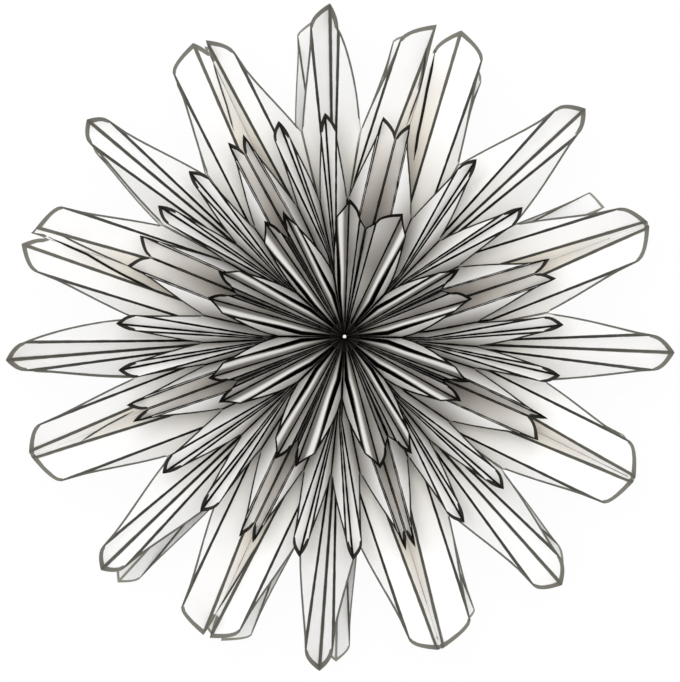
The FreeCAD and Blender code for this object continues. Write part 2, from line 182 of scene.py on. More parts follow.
# Ink along the cut edges: its width at a petal's end and along its sides, and the tones there
CUTS = {"large": (2.6, 1.35, 0.62, 0.50), "medium": (2.1, 1.05, 0.12, 0.12),
        "small": (1.8, 1.15, 0.03, 0.03)}
END_AT_RIDGE = 0.70        # of the width at a petal's end, where the end meets the ridge
SIDE_AT_NOTCH = 0.75       # of the width along a side, where the side meets the notch
MOST_COVERED = 0.34        # of a narrow panel's width, for the line at either side
# On the back the large petals' ink is thinner and paler
FAINT_WIDTH = 0.70
FAINT_TONE = 0.35

# Further lines drawn inside the front pairs: pair, half width, tone, and the way from the rim
# inwards as directions and radii
STROKES = [
    (2, 0.50, 0.15, ((74.2, 179.0), (73.0, 156.5), (73.6, 131.5))),
    (2, 0.85, 0.05, ((72.4, 179.0), (71.5, 155.0), (70.0, 128.5), (68.5, 113.5))),
    (3, 0.50, 0.20, ((115.4, 185.0), (117.0, 155.0), (118.3, 140.0))),
    (4, 0.75, 0.05, ((161.4, 186.0), (162.3, 161.0), (164.5, 137.0), (166.5, 113.5))),
    (4, 0.50, 0.25, ((160.2, 183.0), (161.3, 155.0), (162.0, 134.0))),
    (4, 0.80, 0.50, ((161.65, 195.8), (161.4, 187.0))),
    (5, 0.50, 0.25, ((201.8, 170.0), (200.5, 152.0), (199.5, 134.0))),
    (6, 0.55, 0.20, ((245.0, 182.0), (246.0, 161.0), (247.3, 134.0))),
    # Across the joint of four pairs, where the ink of the two tips runs together
    (1, 1.1, 0.62, ((19.6, 191.3), (21.0, 191.3))),
    (5, 1.1, 0.62, ((200.0, 198.3), (201.4, 198.3))),
    (7, 1.1, 0.62, ((286.5, 193.0), (287.8, 193.0))),
    (8, 1.1, 0.62, ((333.0, 190.9), (334.4, 190.9))),
]
STROKE_LIFT = 0.4          # height of the line above the sheet
STROKE_STEPS = 16          # for each point of the way
STROKE_TAPER = 1 / 6       # share of its length in which a line grows to its full width
STROKE_END = 0.25          # of its width, at its two ends
OVER_ALL = 200.0           # a height above the whole star

# Painted shade: how light the paper is painted on each panel, which lies between two kinds of
# fold: a radius, the lightness at the fold named first, and at the one named second. 1 is clean
# white. The folds shade each other too little for so dark a centre, so shade is painted into the
# paper's colour, darker towards the centre and beside some folds.
NOTCHED_SIDE = ((60, 0.75, 0.80), (100, 0.94, 0.97), (115, 1.0, 1.0), (150, 1.0, 1.0),
                (175, 1.0, 1.0))
SHADES = {
    ("large_joint", "large_ridge"): NOTCHED_SIDE,
    ("large_joint", "pair_ridge"): NOTCHED_SIDE,
    ("large_ridge", "large_valley"): ((60, 0.75, 0.70), (100, 0.97, 0.94), (115, 1.0, 1.0),
                                      (150, 1.0, 1.0), (175, 1.0, 1.0)),
    ("pair_ridge", "pair_valley"): ((60, 0.75, 0.70), (100, 0.95, 0.92), (120, 1.0, 0.98),
                                    (150, 1.0, 1.0), (175, 1.0, 1.0)),
    ("pair_valley", "pair_middle"): ((90, 0.60, 0.52), (115, 0.88, 0.76), (135, 0.96, 0.88),
                                     (160, 0.94, 0.90), (180, 0.98, 0.96)),
    ("medium_joint", "medium_ridge"): ((20, 0.50, 0.55), (50, 0.68, 0.76), (65, 0.56, 0.88),
                                       (80, 0.66, 1.0), (95, 0.84, 1.0), (120, 1.0, 1.0)),
    ("medium_joint", "medium_edge_ridge"): ((20, 0.50, 0.60), (50, 0.70, 0.85),
                                            (65, 0.60, 0.95), (80, 0.62, 0.97),
                                            (95, 0.77, 1.0), (120, 0.95, 1.0)),
    ("medium_ridge", "medium_valley"): ((20, 0.50, 0.50), (50, 0.69, 0.69), (65, 0.93, 0.88),
                                        (80, 1.0, 0.82), (95, 1.0, 0.84), (115, 1.0, 0.96)),
    ("medium_edge_ridge", "medium_edge_valley"): ((50, 0.76, 0.76), (80, 1.0, 1.0),
                                                  (98, 1.0, 1.0), (110, 0.82, 0.82),
                                                  (120, 1.0, 1.0)),
    ("medium_edge_valley", "medium_middle"): ((50, 0.60, 0.45), (80, 0.71, 0.52),
                                              (95, 0.84, 0.66), (120, 1.0, 0.94)),
    ("small_joint", "small_axis_ridge"): ((9, 0.20, 0.24), (22, 0.64, 0.75), (34, 0.74, 0.95),
                                          (46, 0.62, 0.92), (64, 0.76, 0.95)),
    ("small_axis_ridge", "small_valley"): ((9, 0.28, 0.28), (16, 0.60, 0.60),
                                           (28, 0.90, 0.90), (40, 1.0, 1.0), (64, 1.0, 1.0)),
    ("small_valley", "small_ridge"): ((9, 0.28, 0.28), (16, 0.56, 0.60), (28, 0.68, 0.74),
                                      (46, 0.54, 0.64), (64, 0.66, 0.80)),
    ("small_ridge", "small_pair_joint"): ((9, 0.40, 0.40), (22, 0.92, 0.97), (34, 0.90, 1.0),
                                          (64, 0.80, 0.94)),
}
# Between a small petal's axis ridge and its valley shade and light are painted across the panel: a
# black painted shadow, then a white lit strip, then dim: places across the panel at the hub and at
# the cut edge, and the share of lightness there
BANDS_NEAR = (0.0, 0.30, 0.42, 0.60, 0.76, 1.0)
BANDS_FAR = (0.0, 0.06, 0.20, 0.50, 0.68, 1.0)
BANDS_LIGHT = (0.03, 0.03, 1.0, 0.95, 0.52, 0.52)
BANDS_TURN = (36.0, 62.0)  # the radii between which the places move outwards
UNEVEN = 0.02              # half of how far the panels' lightness differs
UNEVEN_TURNS = 7.3         # how fast that changes from panel to panel
LIGHTNESS_POWER = 2.2      # from lightness to the share of light that is given back
# Cream tints of the large petals, between the two of a pair and elsewhere, which grow towards the
# centre with the painted shade: the most cream, the radius that it reaches out to in full, and the
# radius where it ends
CREAM_BETWEEN = (0.95, 130.0, 185.0)
CREAM_LARGE = (0.45, 95.0, 145.0)
CREAM_ELSEWHERE = 0.08
BROWN_EDGE_ON = 0.30       # brown of painted shade, added in the medium petals' outer panels, which stand almost edge on
BROWN_POWER = 1.2          # painted shade is tinted brown, by this power of its darkness

# The core's pleated ends: radii of the rings, height against the petals' folds, the radius inside
# which the height stays, and their painted shade: almost black, but for painted lighter slivers on
# some pleats
CORE_RINGS = (9.6, 6.5, 4.5, 2.8, 1.4, 0.5)
CORE_PLEAT = 0.92
CORE_FLAT = 1.2
CORE_PAINTED_SHADE = 0.004
CORE_PAINTED_LIGHT = {"small_valley": 0.05, "small_joint": 0.03}
# The wall between its ends
WALL_RADIUS = 8.7
WALL_HEIGHT = 4.0
WALL_SIDES = 48
WALL_PAINTED_SHADING = (0.05, 0.0, 0.5)   # painted shade, cream and brown: the wall is painted dark as in shade
# A white dot at the centre of each end
DOT_RADIUS = 1.1
DOT_BASE = 1.35
DOT_RISE = 0.4
DOT_OFF_CENTRE = 0.05
DOT_RINGS = (0.0, 0.5, 1.0, 1.4)
DOT_SIDES = 12

# Grid of a panel: cells across it, and along it inside and outside its inner radius. By these
# powers the cells are narrower beside the ridge and shorter at the cut edge.
COLUMNS = {"large": 8, "medium": 8, "small": 14}
INNER_ROWS = {"large": 10, "medium": 9, "small": 6}
OUTER_ROWS = {"large": 16, "medium": 14, "small": 12}
NARROWER = 1.25
SHORTER = 1.6
EDGE_STEPS = 32            # of the cut edge, where the distance to it is taken

# Studio, in metres
FLOOR_SIZE = 5.0           # half of its side
FLOOR_GLOW = 0.94          # how much of the floor that is seen is plain white
SKY = 0.72                 # strength of the light from all round
LAMP_SPOT = (-0.12, 0.2, 2.0)
LAMP_POWER = 24.0
LAMP_SIZE = 1.0
CAMERA_HEIGHT = 1.4175     # above the hub
LENS = 124.15              # in millimetres, for a picture 36 mm wide
SHIFT = -0.00662           # of the picture's width: the hub lies just off its middle


def next_of(directions, index):
    """The direction after an index, which goes on past a full turn."""
    if index + 1 < len(directions):
        return directions[index + 1]
    return directions[0] + 360.0


def polar(radius, azimuth):
    angle = math.radians(azimuth)
    return np.array([radius * math.cos(angle), radius * math.sin(angle), 0.0])


def raised(point, rise):
    height = math.hypot(point[0], point[1]) * math.tan(math.radians(rise))
    return np.array([point[0], point[1], height])


class Face:
    """One face of the star: how far its folds have turned, and where they begin and end."""

    def __init__(self, turns, ridge_branch, point_reach, pair_reach):
        self.turns = turns + [(turns[0][0] + 360.0, turns[0][1])]
        self.ridge_branch = ridge_branch
        self.point_reach = point_reach
        self.pair_reach = pair_reach

    def turned(self, azimuth):
        """Where a direction of the tables lies on this face."""
        lap = math.floor((azimuth - self.turns[0][0]) / 360.0) * 360.0
        place = azimuth - lap
        for (start, start_turn), (end, end_turn) in zip(self.turns, self.turns[1:]):
            if place <= end:
                share = (place - start) / (end - start)
                return azimuth + start_turn + (end_turn - start_turn) * share


class Fold:
    """A fold as points at the hub, the inner radius and the cut edge, and its kind."""

    def __init__(self, kind, azimuth, radius, rises, form, axis=None, branch=0.0):
        self.kind = kind
        radius = radius - OFF_CENTRE * math.cos(math.radians(azimuth))
        end = polar(radius, azimuth)
        start = polar(branch, axis) if axis is not None else np.zeros(3)
        share = (form["inner"] - branch) / (radius - branch)
        inner = start + (end - start) * share
        hub = inner * (HUB_RADIUS / math.hypot(inner[0], inner[1]))
        self.points = np.array([raised(hub, rises[1]), raised(inner, rises[1]),
                                raised(end, rises[0])])
        self.radii = np.hypot(self.points[:, 0], self.points[:, 1])

    def at(self, radii):
        """Points on the fold at these radii, or beyond its end."""
        radii = np.asarray(radii, float)
        hub, inner, end = self.points
        low = (radii - self.radii[0]) / (self.radii[1] - self.radii[0])
        high = (radii - self.radii[1]) / (self.radii[2] - self.radii[1])
        near = hub + (inner - hub) * low[..., None]
        far = inner + (end - inner) * high[..., None]
        return np.where((radii < self.radii[1])[..., None], near, far)


class Sheet:
    """A folded sheet: its folds in order of azimuth, and the curves of its two outer sides."""

    def __init__(self, folds, tier, right_curve=SIDE_CURVE, left_curve=SIDE_CURVE):
        self.folds = folds
        self.tier = tier
        self.curves = [right_curve] + [SIDE_CURVE] * (len(folds) - 3) + [left_curve]

    def panels(self):
        return zip(self.folds, self.folds[1:], self.curves)


def large_point(index, face):
    """The large petal in the middle of a leaf."""
    before, after = POINT_JOINTS[index]
    right, tip, left = [face.turned(azimuth) for azimuth in POINTS[index]]
    right_reach, tip_reach, left_reach = face.point_reach[index]
    start, end = face.turned(before) + JOINT_GAP / 2, face.turned(after) - JOINT_GAP / 2
    axis = face.turned(LEAF_AXES[index])
    joint, ridge, valley = LARGE_RISE["joint"], LARGE_RISE["ridge"], LARGE_RISE["valley"]
    notch, shoulder = LARGE["notch"], LARGE["shoulder"]
    folds = [Fold("large_joint", start, notch, joint, LARGE, axis, LARGE_JOINT_BRANCH),
             Fold("large_ridge", right, shoulder + right_reach, ridge, LARGE, axis,
                  POINT_BRANCH),
             Fold("large_valley", tip, LARGE["tip"] + tip_reach, valley, LARGE, axis,
                  POINT_BRANCH),
             Fold("large_ridge", left, shoulder + left_reach, ridge, LARGE, axis, POINT_BRANCH),
             Fold("large_joint", end, notch, joint, LARGE, axis, LARGE_JOINT_BRANCH)]
    right_curve, left_curve = POINT_SIDE_CURVES[index]
    return Sheet(folds, "large", right_curve, left_curve)


def large_side_petal(axis, joint, ridge, ridge_branch, tip, middle, reach):
    """One petal of a pair, from its joint with the point of its own leaf to the pair's middle."""
    way = 1 if tip > axis else -1
    ridge_reach, tip_reach, middle_reach = reach
    folds = [Fold("large_joint", joint + way * JOINT_GAP / 2, LARGE["notch"],
                  LARGE_RISE["joint"], LARGE, axis, LARGE_JOINT_BRANCH),
             Fold("pair_ridge", ridge, PAIR_SHOULDER + ridge_reach, LARGE_RISE["pair_ridge"],
                  LARGE, axis, ridge_branch),
             Fold("pair_valley", tip, PAIR_TIP + tip_reach, LARGE_RISE["valley"], LARGE, axis,
                  PAIR_VALLEY_BRANCH),
             Fold("pair_middle", middle - way * JOINT_GAP / 2, PAIR_SHOULDER + middle_reach,
                  LARGE_RISE["pair_middle"], LARGE)]
    return Sheet(folds[::way], "large", PAIR_SIDE_CURVE, PAIR_SIDE_CURVE)


def large_pair(index, face):
    """The two petals between a leaf and the next one: they touch along the pair's middle."""
    right_ridge, right_tip, middle, left_tip, left_ridge = [face.turned(azimuth)
                                                            for azimuth in PAIRS[index]]
    reach = face.pair_reach[index]
    next_joints = [before for before, after in POINT_JOINTS]
    return [large_side_petal(face.turned(LEAF_AXES[index]), face.turned(POINT_JOINTS[index][1]),
                             right_ridge, face.ridge_branch, right_tip, middle, reach[:3]),
            large_side_petal(face.turned(next_of(LEAF_AXES, index)),
                             face.turned(next_of(next_joints, index)),
                             left_ridge, face.ridge_branch, left_tip, middle, reach[:2:-1])]


def medium_fan(index, face):
    """A leaf's four medium petals: it is glued to its neighbours along two ridges."""
    axis = face.turned(LEAF_AXES[index])
    joints = MEDIUM_JOINTS[index]
    ridge, valley, joint = MEDIUM_RISE["ridge"], MEDIUM_RISE["valley"], MEDIUM_RISE["joint"]
    shoulder = MEDIUM["shoulder"]
    start = face.turned(MEDIUM_MIDDLES[index]) + JOINT_GAP / 2
    end = face.turned(next_of(MEDIUM_MIDDLES, index)) - JOINT_GAP / 2

    folds = [Fold("medium_middle", start, shoulder, ridge, MEDIUM)]
    for place, tip in enumerate(MEDIUM_TIPS[index]):
        outer = place in (0, 3)
        axis_side = MEDIUM_EDGE_ON if outer else MEDIUM_AXIS_SIDE
        right, left = (MEDIUM_FAR_SIDE, axis_side) if place < 2 else (axis_side, MEDIUM_FAR_SIDE)
        branch = MEDIUM_SIDE_BRANCH if outer else MEDIUM_BRANCH
        kind = "medium_edge_" if outer else "medium_"
        if place > 0:
            folds.append(Fold(kind + "ridge", face.turned(tip - right), shoulder, ridge,
                              MEDIUM, axis, branch))
        folds.append(Fold(kind + "valley", face.turned(tip), MEDIUM["tip"], valley, MEDIUM,
                          axis, branch))
        if place < 3:
            folds.append(Fold(kind + "ridge", face.turned(tip + left), shoulder, ridge, MEDIUM,
                              axis, branch))
            folds.append(Fold("medium_joint", face.turned(joints[place]), MEDIUM["notch"],
                              joint, MEDIUM, axis, MEDIUM_JOINT_BRANCH))
    folds.append(Fold("medium_middle", end, shoulder, ridge, MEDIUM))
    return Sheet(folds, "medium")


def small_petal(azimuths, axis, face):
    """The folds of one small petal: only the ridge beside its leaf's axis branches off there."""
    right, tip, left = [face.turned(azimuth) for azimuth in azimuths]
    way = 1 if tip > axis else -1
    near, far = (right, left) if way > 0 else (left, right)
    folds = [Fold("small_axis_ridge", near, SMALL["shoulder"], SMALL_RISE["axis_ridge"], SMALL,
                  axis, SMALL_BRANCH),
             Fold("small_valley", tip, SMALL["tip"], SMALL_RISE["valley"], SMALL),
             Fold("small_ridge", far, SMALL["shoulder"], SMALL_RISE["ridge"], SMALL)]
    return folds[::way]


def small_fan(index, face):
    """A leaf's two small petals, joined at its axis."""
    start = face.turned(SMALL_PAIR_JOINTS[index]) + JOINT_GAP / 2
    end = face.turned(next_of(SMALL_PAIR_JOINTS, index)) - JOINT_GAP / 2
    axis = face.turned(SMALL_JOINTS[index])
    rises = SMALL_RISE
    folds = [Fold("small_pair_joint", start, SMALL_PAIR_NOTCH, rises["pair_joint"], SMALL)]
    folds += small_petal(SMALL_RIGHT[index], axis, face)
    folds.append(Fold("small_joint", axis, SMALL["notch"], rises["joint"], SMALL))
    folds += small_petal(SMALL_LEFT[index], axis, face)
    folds.append(Fold("small_pair_joint", end, SMALL_PAIR_NOTCH, rises["pair_joint"], SMALL))
    return Sheet(folds, "small")


def distance(points, chain):
    """Least distance in plan from each point to a chain of points."""
    best = np.full(points.shape[:-1], 1e9)
    for start, end in zip(chain, chain[1:]):
        run = (end - start)[:2]
        share = ((points[..., :2] - start[:2]) @ run) / max(run @ run, 1e-12)
        foot = start[:2] + np.clip(share, 0, 1)[..., None] * run
        best = np.minimum(best, np.hypot(*np.moveaxis(points[..., :2] - foot, -1, 0)))
    return best


def line_of(fold, radii, faint):
    """Half width and tone of the ink line on a fold at these radii."""
    outer, inner, outer_tone, inner_tone = LINES[fold.kind]
    start = LINE_START * fold.radii[2]
    share = np.clip((radii - start) / (fold.radii[2] - start), 0, 1)
    half = inner + (outer - inner) * share ** 2
    tone = inner_tone + (outer_tone - inner_tone) * share ** 1.5
    return (half * FAINT_WIDTH, tone + FAINT_TONE) if faint else (half, tone)


def painted_shade(first, second, radii, across):
    """Painted shade: how much light the paper of a panel gives back, by radius and place across
    it.
    """
    names = (first.kind, second.kind)
    if names not in SHADES:
        names = names[::-1]
        across = 1 - across
    shades = np.array(SHADES[names])
    start = np.interp(radii, shades[:, 0], shades[:, 1])
    painted_shading = np.interp(radii, shades[:, 0], shades[:, 2])
    shade = start + (painted_shading - start) * across
    # A painted shadow beside the small petals' axis ridge, then a painted lit strip
    if names == ("small_axis_ridge", "small_valley"):
        turn = np.clip((radii - BANDS_TURN[0]) / (BANDS_TURN[1] - BANDS_TURN[0]), 0, 1)
        places = [near + (far - near) * turn for near, far in zip(BANDS_NEAR, BANDS_FAR)]
        light = BANDS_LIGHT[0]
        for low, high, before, after in zip(places, places[1:], BANDS_LIGHT, BANDS_LIGHT[1:]):
            light = light + (after - before) * np.clip((across - low) / (high - low), 0, 1)
        shade = shade * light
    middle = math.degrees(math.atan2(*(first.points[2] + second.points[2])[1::-1]))
    shade = shade * (1 + UNEVEN * (math.sin(UNEVEN_TURNS * middle) - 1))
    return np.clip(shade, 0, 1) ** LIGHTNESS_POWER


def paper_tint(first, second, tier, radii, shade):
    """How cream and how brown the paper is: the cream grows with the painted shade on the large
    petals, and the brown is the tint of the painted shade.
    """
    kinds = (first.kind, second.kind)
    if tier == "large":
        most, inner, outer = CREAM_BETWEEN if "pair_middle" in kinds else CREAM_LARGE
        cream = most * np.clip((outer - radii) / (outer - inner), 0, 1)
    else:
        cream = np.full(radii.shape, CREAM_ELSEWHERE)
    brown = (1 - shade) ** BROWN_POWER + (BROWN_EDGE_ON if "medium_middle" in kinds else 0.0)
    return cream, brown


def cut_line(tier, to_tip, from_ridge, faint):
    """Width and tone of the ink on a panel's cut edge, at shares of the way from its ridge."""
    end_width, side_width, end_tone, side_tone = CUTS[tier]
    if to_tip:
        width, tone = end_width * (END_AT_RIDGE + (1 - END_AT_RIDGE) * from_ridge), end_tone
    else:
        width, tone = side_width * (1 + (SIDE_AT_NOTCH - 1) * from_ridge), side_tone
    return (width * FAINT_WIDTH, tone + FAINT_TONE) if faint else (width, tone)


def panel(first, second, curve, tier, faint):
    """One panel between two folds: grid points, ink distances, tones and painted shading."""
    ridge_first = first.points[2][2] > second.points[2][2]
    ridge, other = (first, second) if ridge_first else (second, first)
    to_tip = other.radii[2] > ridge.radii[2]
    power = END_CURVE if to_tip else curve

    def cut_radii(from_ridge):
        """Where the panel is cut, at shares of the way from its ridge."""
        return ridge.radii[2] + (other.radii[2] - ridge.radii[2]) * from_ridge ** power

    from_ridge = np.linspace(0, 1, COLUMNS[tier] + 1) ** NARROWER
    if not ridge_first:
        from_ridge = from_ridge[::-1]
    across = from_ridge if ridge_first else 1 - from_ridge
    inner = (first.radii[1] + second.radii[1]) / 2
    near = HUB_RADIUS + (inner - HUB_RADIUS) * np.linspace(0, 1, INNER_ROWS[tier] + 1)[:-1]
    outwards = 1 - (1 - np.linspace(0, 1, OUTER_ROWS[tier] + 1)) ** SHORTER
    far = inner + (cut_radii(from_ridge)[:, None] - inner) * outwards
    radii = np.concatenate([np.tile(near, (len(across), 1)), far], 1)
    on_first, on_second = first.at(radii), second.at(radii)
    share = across[:, None, None]
    grid = on_first * (1 - share) + on_second * share

    # Ink along the two folds and the cut edge
    width = np.hypot(*np.moveaxis((on_second - on_first)[..., :2], -1, 0))
    ink, tone = [], []
    for fold in (first, second):
        half, line_tone = line_of(fold, radii, faint)
        chain = np.concatenate([fold.points, fold.at(fold.radii[2:] + PAST_END)])
        ink.append(distance(grid, chain) - np.minimum(half, MOST_COVERED * width))
        tone.append(line_tone)
    steps = np.linspace(0, 1, EDGE_STEPS + 1)
    share = steps[:, None]
    cut = ridge.at(cut_radii(steps)) * (1 - share) + other.at(cut_radii(steps)) * share
    cut_width, cut_tone = cut_line(tier, to_tip, from_ridge, faint)
    ink.append(distance(grid, cut) - cut_width[:, None])
    tone.append(np.full(radii.shape, cut_tone))

    shade = painted_shade(first, second, radii, across[:, None])
    cream, brown = paper_tint(first, second, tier, radii, shade)
    return grid, np.stack(ink, -1), np.stack(tone, -1), np.stack([shade, cream, brown], -1)


class Builder:
    """Gathers panels into one mesh with the attributes that the paper's material reads."""

    def __init__(self):
        self.points, self.faces = [], []
        self.ink, self.tone, self.painted_shading = [], [], []
        self.count = 0

    def add(self, points, ink, tone, painted_shading, faces):
        self.points.append(points)
        self.ink.append(ink)
        self.tone.append(tone)
        self.painted_shading.append(painted_shading)
        self.faces.extend([tuple(self.count + k for k in face) for face in faces])
        self.count += len(points)

    def sheet(self, sheet, upside_down):
        """A folded sheet with its upper and lower face and the paper's edge."""
        lift = np.array([0, 0, SHEET_HEIGHT])
        faint = upside_down and sheet.tier == "large"
        rims = []
        for first, second, curve in sheet.panels():
            grid, ink, tone, painted_shading = panel(first, second, curve, sheet.tier, faint)
            columns, rows = grid.shape[:2]
            index = np.arange(columns * rows).reshape(columns, rows)
            quads = np.stack([index[:-1, :-1], index[:-1, 1:], index[1:, 1:], index[1:, :-1]],
                             -1).reshape(-1, 4)
            flat = [part.reshape(-1, 3) for part in (ink, tone, painted_shading)]
            for offset, upward in ((lift, True), (0 * lift, False)):
                faces = quads if upward != upside_down else quads[:, ::-1]
                self.add(self.placed(grid.reshape(-1, 3) + offset, upside_down), *flat, faces)
            rims.append((grid[:, -1], ink[:, -1], tone[:, -1], painted_shading[:, -1]))
            if first is sheet.folds[0]:
                rims.append((grid[0, ::-1], ink[0, ::-1], tone[0, ::-1], painted_shading[0, ::-1]))
            if second is sheet.folds[-1]:
                rims.append((grid[-1], ink[-1], tone[-1], painted_shading[-1]))
            rims.append((grid[:, 0], ink[:, 0], tone[:, 0], painted_shading[:, 0]))
        for chain, ink, tone, painted_shading in rims:
            count = len(chain)
            points = np.concatenate([chain, chain + lift])
            quads = [(k, k + 1, k + 1 + count, k + count) for k in range(count - 1)]
            doubled = [np.concatenate([part, part]) for part in (ink, tone, painted_shading)]
            self.add(self.placed(points, upside_down), *doubled, quads)

    @staticmethod
    def placed(points, upside_down):
        return points * np.array([1, 1, -1]) if upside_down else points

    def stroke(self, half_width, tone, route):
        """An ink line laid on the sheet, through directions and radii. It tapers at both ends."""
        surface = BVHTree.FromPolygons(np.concatenate(self.points).tolist(), self.faces)
        shares = np.linspace(0, 1, STROKE_STEPS * len(route) + 1)
        places = np.linspace(0, 1, len(route))
        azimuths = np.interp(shares, places, [azimuth for azimuth, radius in route])
        radii = np.interp(shares, places, [radius for azimuth, radius in route])
        line = np.array([polar(radius, azimuth) for radius, azimuth in zip(radii, azimuths)])
        run = np.gradient(line, axis=0)
        side = np.stack([-run[:, 1], run[:, 0], 0 * run[:, 0]], -1)
        side /= np.linalg.norm(side, axis=1)[:, None]
        grown = np.clip(np.minimum(shares, 1 - shares) / STROKE_TAPER, STROKE_END, 1)
        side *= half_width * grown[:, None]
        strip = []
        for middle, reach in zip(line, side):
            row = [surface.ray_cast(Vector((x, y, OVER_ALL)), Vector((0, 0, -1)))[0]
                   for x, y, z in (middle - reach, middle, middle + reach)]
            # Over the gap between the two petals the line goes straight across
            if row[0] and row[2]:
                row[1] = row[1] or (row[0] + row[2]) / 2
                strip.extend(np.array(point) + [0, 0, STROKE_LIFT] for point in row)
        quads = [(k, k + 3, k + 4, k + 1) for k in range(len(strip) - 3) if k % 3 != 2]
        self.add(np.array(strip), np.tile([-1.0, 1.0, 1.0], (len(strip), 1)),
                 np.full((len(strip), 3), tone), np.tile([1.0, 0.0, 0.0], (len(strip), 1)), quads)

    def build(self, name, hub, material):
        """The mesh as an object in the frame, in metres."""
        mesh = bpy.data.meshes.new(name)
        points = np.concatenate(self.points) * 0.001 + np.array(hub)
        mesh.from_pydata(points.tolist(), [], self.faces)
        # The third attribute holds the paper's painted shade and its cream and brown tints
        for label, values in (("ink", self.ink), ("tone", self.tone), ("painted_shading", self.painted_shading)):
            attribute = mesh.attributes.new(label, "FLOAT_VECTOR", "POINT")
            attribute.data.foreach_set("vector", np.concatenate(values).astype(np.float32).ravel())
        mesh.materials.append(material)
        mesh.polygons.foreach_set("use_smooth", [True] * len(mesh.polygons))
        mesh.update()
        piece = bpy.data.objects.new(name, mesh)
        bpy.context.scene.collection.objects.link(piece)
        return piece


def node(tree, kind, inputs=None, **settings):
    """A shader node. Its inputs are set to values or linked to other nodes' outputs."""
    made = tree.nodes.new(kind)
    for name, value in settings.items():
        setattr(made, name, value)
    fill(tree, made, inputs or {})
    return made


def fill(tree, made, inputs):
    """Sets or links the inputs of a node, by name or number."""
    for name, value in inputs.items():
        if isinstance(value, bpy.types.NodeSocket):
            tree.links.new(value, made.inputs[name])
        else:
            made.inputs[name].default_value = value


def maths(tree, operation, *values, **settings):
    made = node(tree, "ShaderNodeMath", dict(enumerate(values)), operation=operation, **settings)
    return made.outputs[0]


def mapped(tree, value, start, end, new_start, new_end):
    """A value moved from one range to another, and kept inside it."""
    made = node(tree, "ShaderNodeMapRange", {"Value": value, "From Min": start, "From Max": end,
                                             "To Min": new_start, "To Max": new_end})
    return made.outputs["Result"]


def mixed(tree, factor, first, second, blend="MIX"):
    """Two colours mixed."""
    made = node(tree, "ShaderNodeMix", {"Factor": factor, "A": first, "B": second},
                data_type="RGBA", blend_type=blend)
    return made.outputs["Result"]


def noise(tree, place, **inputs):
    inputs = {name.capitalize(): value for name, value in inputs.items()}
    return node(tree, "ShaderNodeTexNoise", {"Vector": place, **inputs}).outputs["Fac"]


def dot_product(tree, first, second):
    made = node(tree, "ShaderNodeVectorMath", {0: first, 1: second}, operation="DOT_PRODUCT")
    return made.outputs["Value"]


def paper_material():
    """White paper with ink lines, read from the mesh's distances to its folds and edges."""
    material = bpy.data.materials.new("inked_paper")
    material.use_nodes = True
    tree = material.node_tree
    place = node(tree, "ShaderNodeTexCoord").outputs["Object"]
    ink, tone, painted_shading = [node(tree, "ShaderNodeAttribute", attribute_name=name).outputs["Vector"]
                         for name in ("ink", "tone", "painted_shading")]

    # Ink lies where a distance is below 0. Its border wanders a little, and is a little soft.
    wander = maths(tree, "MULTIPLY_ADD", noise(tree, place, scale=160.0, detail=2.0), 0.45, -0.22)
    moved = node(tree, "ShaderNodeVectorMath", {0: ink, 1: wander}, operation="ADD")
    masks = node(tree, "ShaderNodeMapRange", data_type="FLOAT_VECTOR",
                 interpolation_type="SMOOTHSTEP")
    border = {"From_Min_FLOAT3": 0.14, "From_Max_FLOAT3": -0.14,
              "To_Min_FLOAT3": 0.0, "To_Max_FLOAT3": 1.0}
    for socket in masks.inputs:
        if socket.identifier in border:
            socket.default_value = [border[socket.identifier]] * 3
    fill(tree, masks, {"Vector": moved.outputs[0]})
    total = dot_product(tree, masks.outputs["Vector"], (1, 1, 1))
    weighed = dot_product(tree, masks.outputs["Vector"], tone)
    line_tone = maths(tree, "DIVIDE", weighed, maths(tree, "MAXIMUM", total, 0.001),
                      use_clamp=True)
    mask = maths(tree, "MINIMUM", total, 1.0)
    line_colour = mixed(tree, line_tone, (0.0009, 0.0008, 0.0006, 1), (0.30, 0.29, 0.25, 1))

    # Paper: cloudy fibres, and its painted shade with a cream and a brown tint
    shade, cream, brown = node(tree, "ShaderNodeSeparateXYZ", {0: painted_shading}).outputs
    fibres = noise(tree, place, scale=900.0, detail=6.0, roughness=0.65)
    clouds = noise(tree, place, scale=45.0, detail=3.0)
    light = mapped(tree, maths(tree, "ADD", fibres, clouds), 0.6, 1.4, 0.955, 1.0)
    shade = maths(tree, "MULTIPLY", shade, light)
    creamy = mixed(tree, cream, (0.965, 0.963, 0.958, 1), (0.84, 0.78, 0.68, 1))
    tinted = mixed(tree, brown, creamy, (0.92, 0.84, 0.74, 1))
    paper = mixed(tree, 1.0, tinted, shade, "MULTIPLY")

    # Ink is smoother than paper and doesn't glint, nor does the paper where its painted shade is
    # darkest
    gloss = maths(tree, "MULTIPLY", mapped(tree, mask, 0.0, 1.0, 0.25, 0.0), shade)
    bump = node(tree, "ShaderNodeBump", {"Strength": 0.25, "Distance": 0.0001, "Height": fibres})
    fill(tree, tree.nodes["Principled BSDF"],
         {"Base Color": mixed(tree, mask, paper, line_colour),
          "Roughness": mapped(tree, mask, 0.0, 1.0, 0.82, 0.62),
          "Normal": bump.outputs["Normal"], "Specular IOR Level": gloss})
    return material


